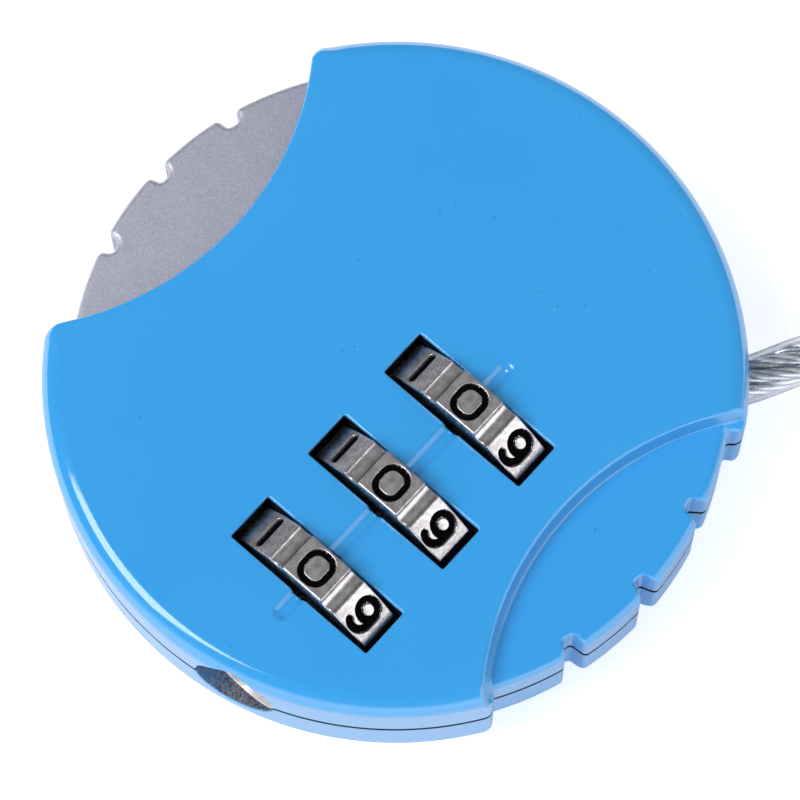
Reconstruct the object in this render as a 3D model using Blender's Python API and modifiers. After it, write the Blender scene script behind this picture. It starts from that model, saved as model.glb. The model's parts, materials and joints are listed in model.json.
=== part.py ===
"""Round luggage combination padlock with a coated cable shackle.

Frame: origin at the disc's centre on the flat of the back cover, +Z out of the
front face, +X along the dial axle, +Y towards the release button.
All driving dimensions are millimetres; the model itself is in metres.
"""
import math

import bmesh
import bpy
from mathutils import Matrix, Vector

MM = 0.001

# ---- driving dimensions (mm) -------------------------------------------------
BODY_R = 22.0            # disc radius
BODY_T = 10.0            # thickness over both covers
PART_Z = 5.5             # parting plane above the back face
PART_GAP = 0.15          # shadow line between the covers
FRONT_FILLET = 1.4
BACK_FILLET = 2.0
SKIN = 1.1               # cover thickness over the cavity
WALL_R = 20.4            # inner radius of the rim wall
ARC_C = 33.4             # centre of each crescent's cutting arc, along Y
ARC_R = 19.7             # radius of each crescent's cutting arc
RECESS = 1.4             # step down to the crescents
GRIP_R = 20.95           # outer radius of the fixed grip crescent
GRIP_HALF = 34.5         # half angle of a crescent, degrees
NOTCH_STEP = 16.4        # angle between grip notches, degrees
NOTCH_DEPTH = 0.85
NOTCH_HALF = 1.9         # half angle of one notch, degrees

DIAL_X = (0.94, -6.08, -13.10)   # wheel centres along the axle
AXLE_Y = -5.28
AXLE_Z = 4.95
DIAL_APOTHEM = 6.63      # flat of a digit facet to the axis
DIAL_W = 2.8
DIAL_FLAT_HALF = 13.25   # half angle of a digit facet, degrees
DIAL_GROOVE = 0.45       # depth of the finger grooves
DIGITS = 10
AXLE_R = 1.0
BORE_R = 1.07
WINDOW_W = 3.36
WINDOW_L = 11.1
REAR_WINDOW_L = 9.9

CAM_W = 2.0
CAM_R = 3.6
CAM_GAP = 0.3            # between wheel and cam sleeve
GATE_W = 1.7
GATE_FLOOR_R = 1.65

GROOVE_R = 0.62          # index groove on the face
GROOVE_SINK = 0.30       # centre of the groove's section below the face (negative: above)
GROOVE_ENDS = (-16.2, 4.2)

HOLE_Y = -5.5            # plug hole
HOLE_R = 2.56
TAB_X0, TAB_X1 = -18.1, -17.3    # latch tab of the locking slide

PRESS = 2.0              # travel of the release button
BUTTON_R = 20.3
BUTTON_Z0, BUTTON_Z1 = RECESS, BODY_T - RECESS

COAT_R = 1.5
COAT_BORE = 1.25
ROPE_R = 1.2
EXIT_R = 22.6            # where the first bend of the cable sits, from the centre
EXIT_AZ = -46.5          # degrees
EXIT_HEADING = -30.6     # degrees
SEG_L = 12.0
SEG_N = 12
LAST_L = 5.0             # cable left between the last bend and the end fitting
SEG_GAP = 1.1            # bare length left at each bend
REST_BEND = -7.0         # bend of each joint at rest, degrees

SCREWS = ((16.5, 8.6), (-16.5, 8.6), (0.0, -18.2))
RESET = (12.0, 0.5)


# ---- helpers -------------------------------------------------------------------
for old in list(bpy.data.objects):
    bpy.data.objects.remove(old, do_unlink=True)

PARTS = bpy.data.collections.new("luggage_cable_padlock")
CUTS = bpy.data.collections.new("cutters")
for c in (PARTS, CUTS):
    bpy.context.scene.collection.children.link(c)


def material(name, rgb, rough, metal, coat=0.0, alpha=None):
    m = bpy.data.materials.new(name)
    m.use_nodes = True
    b = m.node_tree.nodes["Principled BSDF"]
    b.inputs["Base Color"].default_value = (*rgb, 1.0)
    b.inputs["Roughness"].default_value = rough
    b.inputs["Metallic"].default_value = metal
    b.inputs["Coat Weight"].default_value = coat
    if alpha is not None:
        b.inputs["Transmission Weight"].default_value = alpha
    m.diffuse_color = (*rgb, 1.0)
    return m


BLUE = (0.05, 0.35, 0.79)
NICKEL = (0.62, 0.62, 0.66)


def rad(d):
    return math.radians(d)


def polar(r, deg, cx=0.0, cy=0.0):
    return (cx + r * math.cos(rad(deg)), cy + r * math.sin(rad(deg)))


def arc(r, a0, a1, n, cx=0.0, cy=0.0):
    return [polar(r, a0 + (a1 - a0) * i / n, cx, cy) for i in range(n + 1)]


def put(mesh, name, coll, mat=None):
    obj = bpy.data.objects.new(name, mesh)
    coll.objects.link(obj)
    if mat is not None:
        mesh.materials.append(mat)
    if coll is CUTS:
        obj.hide_render = True
        obj.display_type = "WIRE"
    return obj


def smooth(obj, deg=35):
    obj.data.shade_smooth()
    obj.data.set_sharp_from_angle(angle=rad(deg))
    return obj


def prism(name, outline, z0, z1, coll=None, mat=None):
    """A flat outline (counter-clockwise or not) swept from z0 to z1."""
    bm = bmesh.new()
    vs = [bm.verts.new((x * MM, y * MM, z0 * MM)) for x, y in outline]
    face = bm.faces.new(vs)
    grown = bmesh.ops.extrude_face_region(bm, geom=[face])
    up = [v for v in grown["geom"] if isinstance(v, bmesh.types.BMVert)]
    bmesh.ops.translate(bm, verts=up, vec=(0, 0, (z1 - z0) * MM))
    bmesh.ops.recalc_face_normals(bm, faces=bm.faces)
    mesh = bpy.data.meshes.new(name)
    bm.to_mesh(mesh)
    bm.free()
    return put(mesh, name, coll or PARTS, mat)


def box(name, lo, hi, coll=None, mat=None):
    bm = bmesh.new()
    bmesh.ops.create_cube(bm, size=1.0)
    for v in bm.verts:
        v.co = Vector([(l + (c + 0.5) * (h - l)) * MM for c, l, h in zip(v.co, lo, hi)])
    mesh = bpy.data.meshes.new(name)
    bm.to_mesh(mesh)
    bm.free()
    return put(mesh, name, coll or PARTS, mat)


def cylinder(name, r, length, n=24, coll=None, mat=None, r2=None):
    """A capped cylinder (or cone) about local Z from 0 to length."""
    bm = bmesh.new()
    bmesh.ops.create_cone(
        bm, cap_ends=True, segments=n, radius1=r * MM,
        radius2=(r if r2 is None else r2) * MM, depth=length * MM,
        matrix=Matrix.Translation((0, 0, length * MM / 2)),
    )
    mesh = bpy.data.meshes.new(name)
    bm.to_mesh(mesh)
    bm.free()
    return put(mesh, name, coll or PARTS, mat)


def turned(name, profile, steps, coll=None, mat=None):
    """A solid of revolution about local Z; the profile runs top to bottom."""
    bm = bmesh.new()
    vs = [bm.verts.new((r * MM, 0, z * MM)) for r, z in profile]
    for a, b in zip(vs, vs[1:]):
        bm.edges.new((a, b))
    mesh = bpy.data.meshes.new(name)
    bm.to_mesh(mesh)
    bm.free()
    obj = put(mesh, name, coll or PARTS, mat)
    s = obj.modifiers.new("turn", "SCREW")
    s.axis = "Z"
    s.angle = math.tau
    s.steps = s.render_steps = steps
    s.use_merge_vertices = True
    s.merge_threshold = 1e-5
    s.use_smooth_shade = True
    return obj


def place(obj, pos, rot=(0, 0, 0), parent=None):
    """Sets a world position in mm and a rotation in degrees."""
    obj.rotation_euler = [rad(a) for a in rot]
    obj.location = Vector(pos) * MM
    if parent is not None:
        bpy.context.view_layer.update()
        obj.parent = parent
        obj.matrix_parent_inverse = parent.matrix_world.inverted()
    return obj


def frame(name, pos, rot=(0, 0, 0), parent=None):
    e = bpy.data.objects.new(name, None)
    e.empty_display_size = 2 * MM
    PARTS.objects.link(e)
    place(e, pos, rot, parent)
    bpy.context.view_layer.update()
    return e


def boolean(obj, other, op="DIFFERENCE"):
    m = obj.modifiers.new(op.lower() + "_" + other.name, "BOOLEAN")
    m.operation = op
    m.solver = "EXACT"
    m.object = other
    return obj


ALONG_X = (0, 90, 0)     # local Z -> +X, local X -> -Z
ALONG_NEG_Y = (90, 0, 0)  # local Z -> -Y


# ---- outlines --------------------------------------------------------------------
def notched_arc(r, mid, half, n_plain=5):
    """Points of an arc about the origin, with three finger notches in it."""
    pts = []
    at = [mid - NOTCH_STEP, mid, mid + NOTCH_STEP]
    edges = [mid - half]
    for a in at:
        edges += [a - NOTCH_HALF, a + NOTCH_HALF]
    edges.append(mid + half)
    for i in range(0, len(edges), 2):
        seg = arc(r, edges[i], edges[i + 1], n_plain)
        pts += seg
        if i + 2 < len(edges):
            a = at[i // 2]
            for t in (-0.55, 0.0, 0.55):
                depth = NOTCH_DEPTH * (1.0 if t == 0 else 0.86)
                pts.append(polar(r - depth, a + t * NOTCH_HALF))
    return pts


# ---- covers ------------------------------------------------------------------------
enamel = material("blue_enamel", BLUE, 0.18, 0.0, coat=0.6)


def fillet(cr, cz, r, a0, a1, n=4):
    return [(cr + r * math.cos(rad(a0 + (a1 - a0) * i / n)),
             cz + r * math.sin(rad(a0 + (a1 - a0) * i / n))) for i in range(n + 1)]


front = turned(
    "front_cover",
    [(0, BODY_T)]
    + fillet(BODY_R - FRONT_FILLET, BODY_T - FRONT_FILLET, FRONT_FILLET, 90, 0)
    + [(BODY_R, PART_Z + PART_GAP / 2), (0, PART_Z + PART_GAP / 2)],
    72, mat=enamel,
)
back = turned(
    "back_cover",
    [(0, PART_Z - PART_GAP / 2), (BODY_R, PART_Z - PART_GAP / 2)]
    + fillet(BODY_R - BACK_FILLET, BACK_FILLET, BACK_FILLET, 0, -90)
    + [(0, 0)],
    72, mat=enamel,
)

for cover in (front, back):
    cover.rotation_euler = (0, 0, rad(1.7))

# Interior: bounded by the rim wall, by the wall behind the grip crescent, and
# open towards the button.
inner_arc = arc(ARC_R + 1.3, 90 + 31, 90 - 31, 14, 0, -ARC_C)
start = math.degrees(math.atan2(inner_arc[-1][1], inner_arc[-1][0]))
rim_az = -56.0
room = (inner_arc
        + arc(WALL_R, rim_az, 180 - rim_az, 52))
room_front = prism("room_front", room, PART_Z - 1, BODY_T - SKIN, CUTS)
room_back = prism("room_back", room, SKIN, PART_Z + 1, CUTS)
boolean(front, room_front)
boolean(back, room_back)
# deeper pockets in the thick metal behind the grip crescent and in the rim
leaf_pocket = box("leaf_pocket", (-12.0, -15.6, 2.6), (6.0, -11.0, 7.4), CUTS)
tab_pocket = box("tab_pocket", (-18.45, -10.6, 1.5), (-16.9, -6.0, 8.5), CUTS)
socket_seat = place(cylinder("socket_seat", 3.3, 3.0, 28, CUTS), (-19.9, HOLE_Y, PART_Z), ALONG_X)
for cover in (front, back):
    for pocket in (leaf_pocket, tab_pocket, socket_seat):
        boolean(cover, pocket)

bay = place(cylinder("button_bay", ARC_R, 20, 96, CUTS), (0, ARC_C, -5))
grip_step = place(cylinder("grip_step", ARC_R, 4, 96, CUTS), (0, -ARC_C, BODY_T - RECESS))
grip_step_back = place(cylinder("grip_step_back", ARC_R, 4, 96, CUTS), (0, -ARC_C, RECESS - 4))
grip_edge = prism(
    "grip_edge",
    notched_arc(GRIP_R, -90, GRIP_HALF)
    + arc(27, -90 + GRIP_HALF, -90 - GRIP_HALF, 6),
    -5, 15, CUTS,
)
for cover in (front, back):
    boolean(cover, bay)
    boolean(cover, grip_edge)
boolean(front, grip_step)
boolean(back, grip_step_back)

# Screw bosses rise from the front cover to the parting plane.
for i, (x, y) in enumerate(SCREWS):
    if y > -10:
        boss = place(cylinder(f"boss_{i + 1}", 2.1, BODY_T - 0.5 - PART_Z - PART_GAP / 2, 20, CUTS),
                     (x, y, PART_Z + PART_GAP / 2))
        boolean(front, boss, "UNION")
        post = place(cylinder(f"post_{i + 1}", 2.1, PART_Z - PART_GAP / 2 - 0.5, 20, CUTS), (x, y, 0.5))
        boolean(back, post, "UNION")
for i, (x, y) in enumerate(SCREWS):
    drill = place(cylinder(f"drill_{i + 1}", 1.15, 9.0 if y > -10 else 8.0, 16, CUTS), (x, y, -0.5))
    sink = place(cylinder(f"sink_{i + 1}", 1.62, 1.5, 20, CUTS), (x, y, -0.2 if y > -10 else RECESS - 0.2))
    boolean(front, drill)
    boolean(back, drill)
    boolean(back, sink)

# Dial windows, and the undercut that lets the wheels turn.
for i, x in enumerate(DIAL_X):
    window = box(f"window_{i + 1}", (x - WINDOW_W / 2, AXLE_Y - WINDOW_L / 2, 7),
                 (x + WINDOW_W / 2, AXLE_Y + WINDOW_L / 2, 13), CUTS)
    rear = box(f"rear_window_{i + 1}", (x - WINDOW_W / 2, AXLE_Y - REAR_WINDOW_L / 2, -3),
               (x + WINDOW_W / 2, AXLE_Y + REAR_WINDOW_L / 2, 3), CUTS)
    sweep = place(cylinder(f"wheel_room_{i + 1}", 7.05, WINDOW_W - 0.16, 40, CUTS),
                  (x - WINDOW_W / 2 + 0.08, AXLE_Y, AXLE_Z), ALONG_X)
    for cover, opening in ((front, window), (back, rear)):
        boolean(cover, opening)
        boolean(cover, sweep)

# Index groove across the face, on the windows' centre line.
g = cylinder("index_groove", GROOVE_R, GROOVE_ENDS[1] - GROOVE_ENDS[0], 16, CUTS)
place(g, (GROOVE_ENDS[0], AXLE_Y, BODY_T + 0.12), ALONG_X)
boolean(front, g)
for i, x in enumerate(GROOVE_ENDS):
    bm = bmesh.new()
    bmesh.ops.create_uvsphere(bm, u_segments=16, v_segments=8, radius=(GROOVE_R + 0.02) * MM)
    mesh = bpy.data.meshes.new(f"groove_end_{i}")
    bm.to_mesh(mesh)
    bm.free()
    end = put(mesh, f"groove_end_{i}", CUTS)
    place(end, (x, AXLE_Y, BODY_T + 0.12))
    boolean(front, end)

# Plug hole in the rim, and the cable's exit.
mouth = place(cylinder("plug_mouth", HOLE_R, 6, 28, CUTS), (-24, HOLE_Y, PART_Z), ALONG_X)
exit_xy = polar(EXIT_R, EXIT_AZ)
heading = Vector((math.cos(rad(EXIT_HEADING)), math.sin(rad(EXIT_HEADING)), 0))
cable_bore = place(cylinder("cable_bore", COAT_R + 0.12, 9, 24, CUTS),
                   tuple(Vector((*exit_xy, PART_Z)) - heading * 7.5), (0, 90, EXIT_HEADING))
anchor_seat = place(cylinder("anchor_seat", 2.4, 4.6, 24, CUTS),
                    tuple(Vector((*exit_xy, PART_Z)) - heading * 10.8), (0, 90, EXIT_HEADING))
for cover in (front, back):
    boolean(cover, mouth)
    boolean(cover, cable_bore)
    boolean(cover, anchor_seat)

# Reset pin hole in the back.
reset_hole = place(cylinder("reset_hole", 1.0, 4, 16, CUTS), (*RESET, -1))
boolean(back, reset_hole)

# ---- chassis: moulded tray that carries the works -----------------------------------
plastic = material("black_plastic", (0.012, 0.012, 0.014), 0.55, 0.0)
CH_R = WALL_R - 0.35
tray = (arc(ARC_R + 1.65, 90 + 30, 90 - 30, 12, 0, -ARC_C)
        + arc(CH_R, -54.5, 27, 16) + [(14.0, 8.0), (13.6, 6.6), (-13.6, 6.6), (-14.0, 8.0)]
        + arc(CH_R, 153, 234.5, 16))
chassis = prism("chassis", tray, SKIN + 0.3, BODY_T - SKIN - 0.3, mat=plastic)
sill = box("tray_sill", (-11.7, -15.3, 2.9), (5.7, -11.0, 7.1), CUTS)
boolean(chassis, sill, "UNION")
for i, x in enumerate(DIAL_X):
    slot = box(f"dial_slot_{i + 1}", (x - WINDOW_W / 2 - 0.02, AXLE_Y - 7.25, 0),
               (x + WINDOW_W / 2 + 0.02, AXLE_Y + 7.25, 10), CUTS)
    boolean(chassis, slot)
tunnel = place(cylinder("cam_tunnel", 4.2, 19.0, 28, CUTS), (-14.0, AXLE_Y, AXLE_Z), ALONG_X)
boolean(chassis, tunnel)
axle_bore = place(cylinder("axle_bore", AXLE_R + 0.1, 24, 32, CUTS), (-16.5, AXLE_Y, AXLE_Z), ALONG_X)
boolean(chassis, axle_bore)
# room for the locking slide: spine and fingers, then the latch tab
slide_room = box("slide_room", (-19.0, -1.7, AXLE_Z - 1.0), (6.0, 9, AXLE_Z + 1.0), CUTS)
boolean(chassis, slide_room)
tab_room = box("tab_room", (-25.0, -14.6, 1.0), (TAB_X1 + 0.4, 7.6, 9.2), CUTS)
boolean(chassis, tab_room)
plug_nose = place(cylinder("plug_nose_room", HOLE_R, 1.1, 24, CUTS), (-17.0, HOLE_Y, PART_Z), ALONG_X)
boolean(chassis, plug_nose)
for i, (x, y) in enumerate(SCREWS[:2]):
    clear = place(cylinder(f"boss_room_{i + 1}", 2.45, 12, 20, CUTS), (x, y, -1))
    boolean(chassis, clear)
anchor_back = Vector((*exit_xy, PART_Z)) - heading * 10.8
anchor_room = place(cylinder("anchor_room", 2.45, 4.6, 24, CUTS), tuple(anchor_back), (0, 90, EXIT_HEADING))
boolean(chassis, anchor_room)
cable_way = place(cylinder("cable_way", COAT_R + 0.3, 14, 24, CUTS),
                  tuple(Vector((*exit_xy, PART_Z)) - heading * 8), (0, 90, EXIT_HEADING))
boolean(chassis, cable_way)
leaf_room = box("leaf_room", (-16.3, -13.55, 3.6), (4.7, -12.2, 6.3), CUTS)
boolean(chassis, leaf_room)
reset_room = place(cylinder("reset_room", 1.9, 5.4, 20, CUTS), (*RESET, 1.0))
boolean(chassis, reset_room)
for i, x in enumerate((-8.5, 8.5)):
    seat = place(cylinder(f"spring_seat_{i + 1}", 1.75, 3.0, 20, CUTS), (x, 9.0, 6.6), ALONG_NEG_Y)
    boolean(chassis, seat)

# ---- axle, dials, cam sleeves ---------------------------------------------------------
steel = material("bright_steel", (0.55, 0.56, 0.58), 0.3, 1.0)
axle = cylinder("dial_axle", AXLE_R, 22.0, 24, mat=steel)
place(axle, (-15.6, AXLE_Y, AXLE_Z), ALONG_X)
smooth(axle)


def wheel_outline():
    """Ten flats for the digits, with a shallow finger groove between each pair."""
    pts = []
    step = 360.0 / DIGITS
    corner = DIAL_APOTHEM / math.cos(rad(DIAL_FLAT_HALF))
    for k in range(DIGITS):
        a = k * step
        pts.append(polar(corner, a - DIAL_FLAT_HALF))
        pts.append(polar(corner, a + DIAL_FLAT_HALF))
        pts.append(polar(corner - DIAL_GROOVE * 0.8, a + step / 2 - 1.9))
        pts.append(polar(corner - DIAL_GROOVE * 0.8, a + step / 2 + 1.9))
    return pts


def cam_outline():
    """A disc with a gate for the locking finger, and a relief opposite it."""
    half = math.degrees(math.asin(GATE_W / 2 / CAM_R))
    pts = []
    for side in (90, 270):
        pts += arc(CAM_R, side + half, side + 180 - half, 12)
        nxt = side + 180
        inner_half = math.degrees(math.asin(min(0.999, GATE_W / 2 / GATE_FLOOR_R)))
        pts.append(polar(GATE_FLOOR_R, nxt - inner_half))
        pts.append(polar(GATE_FLOOR_R, nxt + inner_half))
    return pts


for i, x in enumerate(DIAL_X):
    nickel = material(f"dial_nickel_{i + 1}", NICKEL, 0.3, 1.0)
    hub = frame(f"dial_{i + 1}_axis", (x, AXLE_Y, AXLE_Z), ALONG_X)
    bore = place(cylinder(f"dial_bore_{i + 1}", BORE_R, 12, 32, CUTS), (x - 5, AXLE_Y, AXLE_Z), ALONG_X)
    wheel = prism(f"number_dial_{i + 1}", wheel_outline(), -DIAL_W / 2, DIAL_W / 2, mat=nickel)
    wheel.parent = hub
    boolean(wheel, bore)
    brass = material(f"cam_brass_{i + 1}", (0.55, 0.40, 0.16), 0.35, 1.0)
    cam = prism(f"cam_sleeve_{i + 1}", cam_outline(), DIAL_W / 2 + CAM_GAP, DIAL_W / 2 + CAM_GAP + CAM_W, mat=brass)
    cam.parent = hub
    boolean(cam, bore)

# ---- locking slide -----------------------------------------------------------------------
slide_axis = frame("slide_axis", (0, 0, 0))
plate = material("zinc_plated_steel", (0.5, 0.51, 0.5), 0.35, 1.0)
slide = box("locking_slide", (TAB_X0, 4.1, AXLE_Z - 0.5), (5.2, 5.7, AXLE_Z + 0.5), mat=plate)
for i, x in enumerate(DIAL_X):
    x0 = x + DIAL_W / 2 + CAM_GAP + 0.35
    finger = box(f"fence_finger_{i + 1}", (x0, -1.25, AXLE_Z - 0.5), (x0 + CAM_W - 0.7, 4.6, AXLE_Z + 0.5), CUTS)
    boolean(slide, finger, "UNION")
tab = box("latch_tab", (TAB_X0, -8.1, 1.9), (TAB_X1, 5.7, 8.1), CUTS)
boolean(slide, tab, "UNION")
push_leg = box("push_leg", (-2.6, 5.0, AXLE_Z - 0.5), (2.6, 10.3, AXLE_Z + 0.5), CUTS)
boolean(slide, push_leg, "UNION")
# keyhole: wide where the plug may pass, narrow where it is held by its neck
wide = place(cylinder("keyhole_wide", 2.6, 4, 28, CUTS), (-19.6, HOLE_Y + PRESS, PART_Z), ALONG_X)
narrow = place(cylinder("keyhole_narrow", 1.75, 4, 24, CUTS), (-19.6, HOLE_Y, PART_Z), ALONG_X)
boolean(slide, wide)
boolean(slide, narrow)
slide.parent = slide_axis

# ---- release button -------------------------------------------------------------------------
satin = material("satin_nickel", (0.42, 0.42, 0.47), 0.45, 1.0)
half = GRIP_HALF - 1.0
outer = notched_arc(BUTTON_R, 90, half)
left_end, right_end = outer[-1], outer[0]
inner = arc(ARC_R + 3.0, 270 - 23, 270 + 23, 12, 0, ARC_C)
profile = (outer
           + [(left_end[0] + 0.1, 14.4), (-13.2, 13.6), (-13.2, inner[0][1] + 0.6)]
           + [(x, y) for x, y in inner if abs(x) < 13.0]
           + [(13.2, inner[-1][1] + 0.6), (13.2, 13.6), (right_end[0] - 0.1, 14.4)])
button = prism("release_button", profile, BUTTON_Z0, BUTTON_Z1, mat=satin)
for i, x in enumerate((-8.5, 8.5)):
    cup = place(cylinder(f"button_cup_{i + 1}", 1.75, 4.4, 20, CUTS), (x, 14.5, 6.6), ALONG_NEG_Y)
    boolean(button, cup)
button.parent = slide_axis

def coil(name, r, wire, turns, length, pos, rot, mat):
    """A compression spring as a poly-line tube about local Z."""
    curve = bpy.data.curves.new(name, "CURVE")
    curve.dimensions = "3D"
    curve.bevel_depth = wire * MM
    curve.bevel_resolution = 1
    curve.use_fill_caps = True
    spline = curve.splines.new("POLY")
    per = 9
    n = int(turns * per) + 1
    spline.points.add(n - 1)
    for k in range(n):
        t = k / (n - 1)
        a = math.tau * turns * t
        spline.points[k].co = (r * math.cos(a) * MM, r * math.sin(a) * MM, length * t * MM, 1)
    curve.materials.append(mat)
    obj = bpy.data.objects.new(name, curve)
    PARTS.objects.link(obj)
    place(obj, pos, rot)
    return obj


spring_mat = material("spring_steel", (0.45, 0.46, 0.5), 0.3, 1.0)
SPRING_L = 7.7
for side, x in (("left", -8.5), ("right", 8.5)):
    coil(f"button_spring_{side}", 1.05, 0.2, 5.5, SPRING_L, (x, 6.25 + SPRING_L, 6.6), ALONG_NEG_Y, spring_mat)

# ---- detent spring ---------------------------------------------------------------------------
leaf = box("detent_spring", (-15.3, -13.2, 3.95), (4.3, -12.9, 5.95), mat=material("leaf_steel", (0.5, 0.5, 0.52), 0.3, 1.0))
for i, x in enumerate(DIAL_X):
    rib = place(cylinder(f"detent_rib_{i + 1}", 0.45, 2.0, 14, CUTS), (x - 1.0, -12.95, AXLE_Z), ALONG_X)
    boolean(leaf, rib, "UNION")

# ---- plug socket ----------------------------------------------------------------------------
socket = cylinder("plug_socket", HOLE_R + 0.45, 1.0, 28, mat=material("socket_zinc", (0.2, 0.2, 0.21), 0.6, 1.0))
place(socket, (-19.55, HOLE_Y, PART_Z), ALONG_X)
socket_bore = place(cylinder("socket_bore", HOLE_R, 4, 28, CUTS), (-21, HOLE_Y, PART_Z), ALONG_X)
boolean(socket, socket_bore)
smooth(socket)

# ---- screws ------------------------------------------------------------------------------------
for i, (x, y) in enumerate(SCREWS):
    top = 7.3 if y > -10 else 5.6
    screw = turned(
        f"case_screw_{i + 1}",
        [(0, top), (0.75, top), (0.85, top - 0.15), (0.85, 0.95), (1.5, 0.95), (1.5, 0.12), (1.4, 0.0), (0, 0.0)],
        20, mat=material(f"screw_steel_{i + 1}", (0.4, 0.41, 0.43), 0.3, 1.0),
    )
    z = 0.08 if y > -10 else RECESS + 0.08
    place(screw, (x, y, z))
    for k, rot in enumerate((0, 90)):
        bar = box(f"driver_{i + 1}_{k}", (-1.0, -0.22, -0.6), (1.0, 0.22, 0.55), CUTS)
        place(bar, (x, y, z), (0, 0, rot + 15))
        boolean(screw, bar)

# ---- reset pin and its spring --------------------------------------------------------------------
reset = turned("reset_pin", [(0, 2.6), (1.5, 2.6), (1.5, 1.5), (0.85, 1.5), (0.85, 0.15), (0.75, 0.0), (0, 0.0)],
               20, mat=material("reset_steel", (0.5, 0.5, 0.52), 0.3, 1.0))
place(reset, (*RESET, 0.1))
coil("reset_spring", 1.15, 0.16, 3.0, 3.0, (*RESET, 3.05), (0, 0, 0), spring_mat)

# ---- cable ----------------------------------------------------------------------------------------
coat_mat = material("clear_pvc", (0.86, 0.88, 0.9), 0.15, 0.0, alpha=0.85)
rope_mat = material("wire_rope", (0.45, 0.46, 0.48), 0.35, 1.0)


def tube_pair(tag, start, end, heading_deg, parent=None):
    """Coating and rope over one straight length, start to end from the frame."""
    coat = turned(f"cable_coat_{tag}",
                  [(COAT_BORE, end), (COAT_R, end), (COAT_R, start), (COAT_BORE, start), (COAT_BORE, end)],
                  14, mat=coat_mat)
    rope = turned(f"cable_rope_{tag}", [(0, end), (ROPE_R, end), (ROPE_R, start), (0, start)], 10, mat=rope_mat)
    return coat, rope


root_origin = Vector((*exit_xy, PART_Z))
coat, rope = tube_pair("0", -6.3, -SEG_GAP / 2, EXIT_HEADING)
for o in (coat, rope):
    place(o, tuple(root_origin), (0, 90, EXIT_HEADING))
ferrule = turned("cable_anchor", [(0, -6.6), (1.95, -6.6), (2.1, -6.75), (2.1, -10.25), (1.95, -10.4), (0, -10.4)], 24,
                 mat=material("ferrule_alu", (0.6, 0.61, 0.63), 0.4, 1.0))
place(ferrule, tuple(root_origin), (0, 90, EXIT_HEADING))

pos = root_origin.copy()
ang = EXIT_HEADING
for k in range(1, SEG_N + 1):
    ang += REST_BEND
    d = Vector((math.cos(rad(ang)), math.sin(rad(ang)), 0))
    bend = frame(f"cable_bend_{k}_axis", tuple(pos), (0, 90, ang))
    last = k == SEG_N
    coat, rope = tube_pair(str(k), SEG_GAP / 2, LAST_L - 0.3 if last else SEG_L - SEG_GAP / 2, ang)
    for o in (coat, rope):
        o.parent = bend
    if last:
        tip = bend
        tip_pos, tip_ang = pos.copy(), ang
    pos += d * SEG_L

# End fitting: crimped collar with a stop flange, then the plug with its neck.
c0 = LAST_L
collar = turned("plug_collar",
                [(0, c0 + 6.3), (2.9, c0 + 6.3), (3.1, c0 + 6.1), (3.1, c0 + 5.4), (2.9, c0 + 5.2), (2.35, c0 + 5.2),
                 (2.35, c0 + 0.4), (2.0, c0), (0, c0)], 20,
                mat=material("collar_nickel", (0.62, 0.62, 0.64), 0.25, 1.0))
collar.parent = tip
p0 = c0 + 6.6
plug = turned("cable_plug",
              [(0, p0 + 5.2), (1.3, p0 + 5.2), (2.0, p0 + 4.9), (2.35, p0 + 4.5), (2.35, p0 + 4.2), (1.5, p0 + 4.2),
               (1.5, p0 + 2.9), (2.35, p0 + 2.9), (2.35, p0), (0, p0)], 20,
              mat=material("plug_steel", (0.6, 0.6, 0.62), 0.2, 1.0))
plug.parent = tip

for obj in PARTS.objects:
    if obj.type == "MESH" and not any(m.type == "SCREW" for m in obj.modifiers):
        smooth(obj)
    if any(m.type == "BOOLEAN" for m in obj.modifiers):
        weld = obj.modifiers.new("weld", "WELD")
        weld.merge_threshold = 4e-6
bpy.context.view_layer.update()
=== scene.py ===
"""Looks for the round luggage padlock with a coated cable.

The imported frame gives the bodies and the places; this script builds the fine
surfaces around it. Lengths in the helpers are millimetres in the row frame and
are turned into metres when a mesh is made.
"""
import json
import math

import bmesh
import bpy
import numpy as np
from mathutils import Matrix, Vector


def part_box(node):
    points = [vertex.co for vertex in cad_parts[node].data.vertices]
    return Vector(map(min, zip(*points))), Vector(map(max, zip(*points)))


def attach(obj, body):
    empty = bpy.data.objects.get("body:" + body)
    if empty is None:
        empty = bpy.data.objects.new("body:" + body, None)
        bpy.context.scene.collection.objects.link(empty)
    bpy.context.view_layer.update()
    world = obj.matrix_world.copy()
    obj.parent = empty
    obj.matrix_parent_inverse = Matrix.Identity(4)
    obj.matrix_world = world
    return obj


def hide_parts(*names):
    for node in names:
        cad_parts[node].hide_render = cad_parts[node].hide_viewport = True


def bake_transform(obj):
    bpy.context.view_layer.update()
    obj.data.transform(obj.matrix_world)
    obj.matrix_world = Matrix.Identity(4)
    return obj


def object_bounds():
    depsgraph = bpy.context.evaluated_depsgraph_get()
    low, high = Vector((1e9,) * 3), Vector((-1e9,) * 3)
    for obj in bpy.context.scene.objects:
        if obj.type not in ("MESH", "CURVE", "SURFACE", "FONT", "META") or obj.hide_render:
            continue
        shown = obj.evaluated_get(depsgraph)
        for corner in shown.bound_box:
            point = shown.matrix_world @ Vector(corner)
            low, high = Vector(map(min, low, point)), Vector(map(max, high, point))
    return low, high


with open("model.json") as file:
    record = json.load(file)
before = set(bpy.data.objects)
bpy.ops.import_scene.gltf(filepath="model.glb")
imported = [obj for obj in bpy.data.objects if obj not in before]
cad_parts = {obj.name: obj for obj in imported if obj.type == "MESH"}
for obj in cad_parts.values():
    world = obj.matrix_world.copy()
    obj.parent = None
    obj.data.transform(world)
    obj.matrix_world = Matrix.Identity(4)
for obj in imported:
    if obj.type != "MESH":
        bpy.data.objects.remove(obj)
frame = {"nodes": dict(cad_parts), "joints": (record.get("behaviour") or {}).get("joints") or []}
cad_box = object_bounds()
nodes = frame["nodes"]
joints = {j["name"]: j for j in frame["joints"]}

MM = 0.001


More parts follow.
